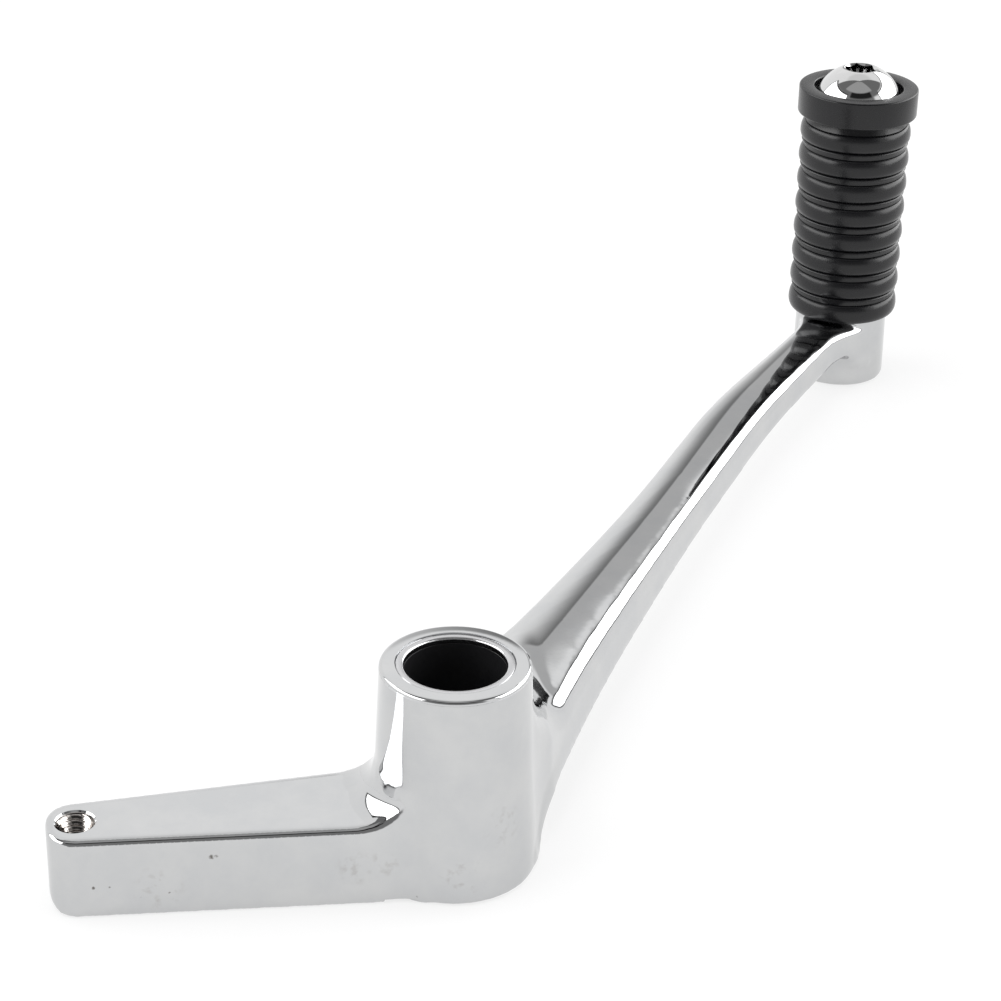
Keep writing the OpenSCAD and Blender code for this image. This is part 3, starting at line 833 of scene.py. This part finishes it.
# %% Outline of one rib
RIB_R, GROOVE_R, LIP_R, RIB_PITCH, RIB_COUNT, FIRST_SINK = 11.85, 10.1, 10.75, 5.55, 8, 1.2
BEAD_LOW, FIRST_BEAD_LOW, BEAD_MIDDLE, BEAD_STEPS = 1.62, 1.35, 3.15, 24


def rib(foot, with_lip):
    """One rib as (radius, height), upwards from the notch under it."""
    lip = [(GROOVE_R + 0.8, foot + 0.04), (GROOVE_R + 0.95, foot + 0.12),
           (LIP_R + 0.5, foot + 0.95), (LIP_R + 0.62, foot + 1.1), (LIP_R + 0.7, foot + 1.26),
           (LIP_R + 0.62, foot + 1.42), (LIP_R + 0.3, foot + 1.56)]
    low = foot + (BEAD_LOW if with_lip else FIRST_BEAD_LOW)
    middle, high = foot + BEAD_MIDDLE, foot + RIB_PITCH
    bead = []
    for a in (math.pi * i / BEAD_STEPS for i in range(BEAD_STEPS + 1)):
        base = LIP_R + 0.15 if a < math.pi / 2 else GROOVE_R + 0.75
        reach = middle - low if a < math.pi / 2 else high - middle
        bead.append((base + (RIB_R - base) * math.sin(a) ** 0.95 if 0 < a < math.pi else base,
                     middle - reach * math.cos(a)))
    return (lip if with_lip else []) + bead


print("rib", len(rib(0, True)), "points, the lowest", len(rib(0, False)))

# %% Turn the ribbed rubber
RUBBER_TOP, RUBBER_BORE_R, COLLAR_R, COLLAR_H = 66.1, 8.02, 12.75, 5.8
RECESS_R, RECESS_DEPTH, COLLAR_LOW_ROUND, COLLAR_TOP_ROUND = 9.5, 2.6, 0.4, 0.35
outline = [(RUBBER_BORE_R, BOSS_H), (GROOVE_R, BOSS_H)]
for count in range(RIB_COUNT):
    outline += rib(BOSS_H - FIRST_SINK + count * RIB_PITCH, count > 0)
collar_low = RUBBER_TOP - COLLAR_H
outline += [(GROOVE_R, collar_low - 0.3), (GROOVE_R, collar_low)]
outline += arc((COLLAR_R - COLLAR_LOW_ROUND, collar_low + COLLAR_LOW_ROUND), COLLAR_LOW_ROUND,
               -90, 0, 5)
for middle_r, begin, end in ((COLLAR_R - COLLAR_TOP_ROUND, 0, 90),
                             (RECESS_R + COLLAR_TOP_ROUND, 90, 180)):
    outline += arc((middle_r, RUBBER_TOP - COLLAR_TOP_ROUND), COLLAR_TOP_ROUND, begin, end, 5)
outline += [(RECESS_R, RUBBER_TOP - RECESS_DEPTH), (RUBBER_BORE_R, RUBBER_TOP - RECESS_DEPTH)]
rubber = turn(outline, PEG_X, steps=144)
finish_piece(rubber, "peg_rubber_ribbed", peg_rubber_black, ["peg_rubber"], smooth=40)

# %% [markdown]
# The button head is a polished dome with a hexagon socket. The socket's mouth has a small
# chamfer, which is what catches the light, so a cone is cut out of it as well as the hexagon.

# %% Turn the bolt
HEAD_Z, HEAD_R, HEAD_H, HEX, HEX_DEPTH = 64.6, 8.75, 5.5, 6.0, 4.0
SHANK_LEN, SHANK_R, SHANK_TIP_R, HEAD_EDGE = 60, 5.0, 4.3, 0.25
# The dome is part of a ball, from the top of the rim to the edge of the flat.
flat_r, rim_h = HEX * 0.62, 0.7
rise = HEAD_H - rim_h
ball_drop = (HEAD_R ** 2 - flat_r ** 2 + rise ** 2) / (2 * rise)
ball_r = math.hypot(flat_r, ball_drop)
start = math.degrees(math.atan2(ball_drop - rise, HEAD_R))
stop = math.degrees(math.atan2(ball_drop, flat_r))
dome = [(r, z + HEAD_Z) for r, z in arc((0, rim_h + rise - ball_drop), ball_r, start, stop, 28)]
shank = [(0, HEAD_Z - SHANK_LEN), (SHANK_TIP_R, HEAD_Z - SHANK_LEN), (SHANK_R, HEAD_Z - 59.3),
         (SHANK_R, HEAD_Z)]
rim = [(HEAD_R - HEAD_EDGE, HEAD_Z), (HEAD_R, HEAD_Z + HEAD_EDGE)]
bolt = turn(shank + rim + dome + [(0, HEAD_Z + HEAD_H)], PEG_X, steps=144, open_at_axis=True)
print("bolt", triangles(bolt), "dome radius", round(ball_r, 2))

# %% Press its hexagon socket and chamfer the mouth
SPARE = 2
socket_middle = HEAD_Z + HEAD_H - HEX_DEPTH + (HEX_DEPTH + SPARE) / 2
bpy.ops.mesh.primitive_cylinder_add(vertices=6, radius=HEX / 2 / math.cos(math.pi / 6) * MM,
                                    depth=(HEX_DEPTH + SPARE) * MM,
                                    location=(PEG_X * MM, 0, socket_middle * MM))
cut(bolt, bpy.context.object)
CONE_LOW_R, CONE_TOP_R, CONE_H, CONE_LIFT = 2.9, 4.5, 1.6, 0.25
bpy.ops.mesh.primitive_cone_add(vertices=96, radius1=CONE_LOW_R * MM, radius2=CONE_TOP_R * MM,
                                depth=CONE_H * MM,
                                location=(PEG_X * MM, 0, (HEAD_Z + HEAD_H + CONE_LIFT) * MM))
cut(bolt, bpy.context.object)
finish_piece(bolt, "peg_bolt_button", bolt_chrome, ["peg_bolt"], smooth=30)

# %% [markdown]
# A steel sleeve inside the rubber takes the force of the bolt. Nobody sees it, so it stays as
# CAD made it and only gets its steel.

# %% The sleeve
sleeve = frame["nodes"]["peg_sleeve"]
sleeve.data.materials.clear()
sleeve.data.materials.append(sleeve_steel)
print("peg_sleeve", triangles(sleeve), sleeve.data.materials[0].name)

# %% [markdown]
# ## The studio
# The photo was taken on a white sweep with big soft boxes left and right, a darker room behind
# the camera and a grey gap behind the lever. Every bright patch and dark line on the chrome is
# one of these. They are painted into the world by direction: azimuth 0 looks away from the
# camera, and the panels are soft-edged boxes in azimuth and elevation.

# %% Group: one soft panel of the studio
panel_tree, panel_in, panel_out = group(
    "studio_panel",
    [("Azimuth", "NodeSocketFloat", 0.0), ("Elevation", "NodeSocketFloat", 0.0),
     ("Level before", "NodeSocketFloat", 0.0), ("Centre azimuth", "NodeSocketFloat", 0.0),
     ("Half azimuth", "NodeSocketFloat", 10.0), ("Centre elevation", "NodeSocketFloat", 0.0),
     ("Half elevation", "NodeSocketFloat", 10.0), ("Edge", "NodeSocketFloat", 3.0),
     ("Level", "NodeSocketFloat", 1.0)],
    [("Level", "NodeSocketFloat")])


def inside(value, centre, half, wrap):
    """1 inside a span of degrees, 0 outside it, with a soft edge."""
    away = add(panel_tree, "ShaderNodeMath", {0: value, 1: centre}, operation="SUBTRACT")
    if wrap:
        away = add(panel_tree, "ShaderNodeMath", {0: away.outputs[0], 1: 180.0, 2: -180.0},
                   operation="WRAP")
    size = add(panel_tree, "ShaderNodeMath", {0: away.outputs[0]}, operation="ABSOLUTE")
    outer = add(panel_tree, "ShaderNodeMath", {0: half, 1: panel_in.outputs["Edge"]},
                operation="ADD")
    inner = add(panel_tree, "ShaderNodeMath", {0: half, 1: panel_in.outputs["Edge"]},
                operation="SUBTRACT")
    return add(panel_tree, "ShaderNodeMapRange",
               {"Value": size.outputs[0], "From Min": outer.outputs[0],
                "From Max": inner.outputs[0]}, interpolation_type="SMOOTHSTEP").outputs[0]


across = inside(panel_in.outputs["Azimuth"], panel_in.outputs["Centre azimuth"],
                panel_in.outputs["Half azimuth"], True)
upright = inside(panel_in.outputs["Elevation"], panel_in.outputs["Centre elevation"],
                 panel_in.outputs["Half elevation"], False)
mask = add(panel_tree, "ShaderNodeMath", {0: across, 1: upright}, operation="MULTIPLY")
level = add(panel_tree, "ShaderNodeMix", {0: mask.outputs[0], 2: panel_in.outputs["Level before"],
                                          3: panel_in.outputs["Level"]})
panel_tree.links.new(level.outputs[0], panel_out.inputs[0])
print("studio_panel", len(panel_tree.nodes), "nodes")

# %% [markdown]
# The direction of each ray is turned to the camera's heading and told as azimuth and elevation
# in degrees. Then each panel paints over the ones before it. The camera itself sees plain white,
# so the studio shows only in the chrome.

# %% Directions of the studio
CAMERA_TURN = 67.48
world = bpy.data.worlds.new("studio")
bpy.context.scene.world = world
world.use_nodes = True
sky = world.node_tree
background = sky.nodes["Background"]
background.inputs["Color"].default_value = (1, 1, 1, 1)
direction = add(sky, "ShaderNodeTexCoord").outputs["Generated"]
turned = add(sky, "ShaderNodeVectorRotate", {"Vector": direction,
                                             "Angle": math.radians(CAMERA_TURN)},
             rotation_type="Z_AXIS")
axes = add(sky, "ShaderNodeSeparateXYZ", {0: turned.outputs[0]})
azimuth = add(sky, "ShaderNodeMath", {0: axes.outputs["X"], 1: axes.outputs["Y"]},
              operation="ARCTAN2")
azimuth = add(sky, "ShaderNodeMath", {0: azimuth.outputs[0]}, operation="DEGREES").outputs[0]
elevation = add(sky, "ShaderNodeMath", {0: axes.outputs["Z"]}, operation="ARCSINE")
elevation = add(sky, "ShaderNodeMath", {0: elevation.outputs[0]}, operation="DEGREES").outputs[0]
print("studio turned by", CAMERA_TURN, "degrees")

# %% Paint the studio
panels = [  # centre azimuth, half, centre elevation, half, edge, level
    (0, 200, 85, 20, 5, 0.9),       # ceiling
    (180, 110, 71, 25, 2, 0.2),     # dark room overhead
    (180, 70, 60, 20, 3, 0.2),      # and behind the camera
    (180, 46, 24, 20, 5, 0.25),     # down towards the table
    (178, 38, 50, 10, 3, 0.02),     # its darkest part
    (-172, 60, 71, 16, 2, 0.45),    # grey ledge in it
    (5, 8, 25, 10, 6, 0.25),        # gap behind the lever
    (16, 13, 25, 10, 0.7, 0.62),    # grey sheet to the right of the gap
    (32, 24, 6, 12, 2, 1.1),        # foot of the sweep, below that sheet
    (-95, 40.5, 29, 17.5, 1, 0.06), # frame of the left soft box
    (-95, 38, 28.5, 14.5, 1, 4.0),  # left soft box
    (72, 43.5, 24, 20.5, 1, 0.06),  # frame of the right soft box
    (72, 41, 24, 18, 1, 4.0),       # right soft box
    (0, 27, 38.5, 10.5, 1, 1.15),   # upper wall behind the lever
]
WALL_LEVEL, SEEN_LEVEL = 1.1, 1.0
light_level = WALL_LEVEL
for centre_az, half_az, centre_el, half_el, edge, strength in panels:
    node = add(sky, "ShaderNodeGroup",
               {"Azimuth": azimuth, "Elevation": elevation, "Level before": light_level,
                "Centre azimuth": centre_az, "Half azimuth": half_az,
                "Centre elevation": centre_el, "Half elevation": half_el, "Edge": edge,
                "Level": strength}, node_tree=panel_tree)
    light_level = node.outputs[0]
camera_ray = add(sky, "ShaderNodeLightPath").outputs["Is Camera Ray"]
shown = add(sky, "ShaderNodeMix", {0: camera_ray, 2: light_level, 3: SEEN_LEVEL})
fill(sky, background, {"Strength": shown.outputs[0]})
print(len(panels), "panels")

# %% [markdown]
# The floor is the white paper under the lever. It glows by itself, which stands for the light
# that a real sweep gathers from every side, so the shadow stays weak. The key light overhead is
# hidden from the chrome, where the panels do its work.

# %% Floor
GREY_LOW, GREY_HIGH, FLOOR_GLOW, FLOOR_SIZE = 0.2, 0.21, 0.74, 8
floor_paint, tree, shader = new_material("sweep_paper")
place = add(tree, "ShaderNodeTexCoord").outputs["Object"]
paper = add(tree, "ShaderNodeTexNoise", {"Vector": place, "Scale": 3.0})
tone = add(tree, "ShaderNodeMix", {0: paper.outputs["Fac"], 6: (GREY_LOW, GREY_LOW, GREY_LOW, 1),
                                   7: (GREY_HIGH, GREY_HIGH, GREY_HIGH, 1)}, data_type="RGBA")
fill(tree, shader, {"Base Color": tone.outputs[2], "Roughness": 0.9, "Specular IOR Level": 0.0,
                    "Emission Color": (1, 1, 1, 1), "Emission Strength": FLOOR_GLOW})
bpy.ops.mesh.primitive_plane_add(size=FLOOR_SIZE, location=(0, 0, 0))
floor = bpy.context.object
floor.name = "sweep"
floor.data.materials.append(floor_paint)
print("floor", floor.name, FLOOR_SIZE, "m wide")

# %% Key light
bpy.ops.object.light_add(type="AREA", location=(-0.1, 0.3, 1.3))
key = bpy.context.object
key.name = "overhead_key"
key.data.shape = "SQUARE"
key.data.size = 0.9
key.data.energy = 9
key.visible_glossy = False
print("key light", key.data.energy, "W")

# %% [markdown]
# The camera was found from three circles in the photo: the bore, the bolt head and the link
# hole. It looks down at the lever and is rolled by about one degree. Its place is told in the
# studio's directions, in mm: to the right, away from the camera, and up.

# %% Camera
LOOK_DOWN, ROLL, CAMERA_PLACE = 26.74, 1.12, (6.4, -351.6, 241.1)
SENSOR, FOCAL_PIXELS, PICTURE_PIXELS = 36, 2650, 1001
camera_data = bpy.data.cameras.new("camera")
camera = bpy.data.objects.new("camera", camera_data)
bpy.context.scene.collection.objects.link(camera)
pitch, roll, spin = (math.radians(v) for v in (LOOK_DOWN, ROLL, -CAMERA_TURN))
right = Vector((1, 0, 0))
up = Vector((0, math.sin(pitch), math.cos(pitch)))
ahead = Vector((0, math.cos(pitch), -math.sin(pitch)))
right_rolled = right * math.cos(roll) + up * math.sin(roll)
up_rolled = up * math.cos(roll) - right * math.sin(roll)
to_frame = Matrix.Rotation(spin, 3, "Z")
camera_axes = [to_frame @ right_rolled, to_frame @ up_rolled, to_frame @ -ahead]
place_at = to_frame @ Vector(CAMERA_PLACE) * MM
turn_matrix = Matrix(camera_axes).transposed().to_4x4()
camera.matrix_world = Matrix.Translation(place_at) @ turn_matrix
camera_data.sensor_width = SENSOR
camera_data.lens = SENSOR * FOCAL_PIXELS / PICTURE_PIXELS
camera_data.clip_start, camera_data.clip_end = 0.01, 20
bpy.context.scene.camera = camera
bpy.context.scene.view_settings.view_transform = "Standard"
bpy.context.scene.view_settings.look = "None"
print("lens", round(camera_data.lens, 1), "camera at", [round(v, 3) for v in place_at])
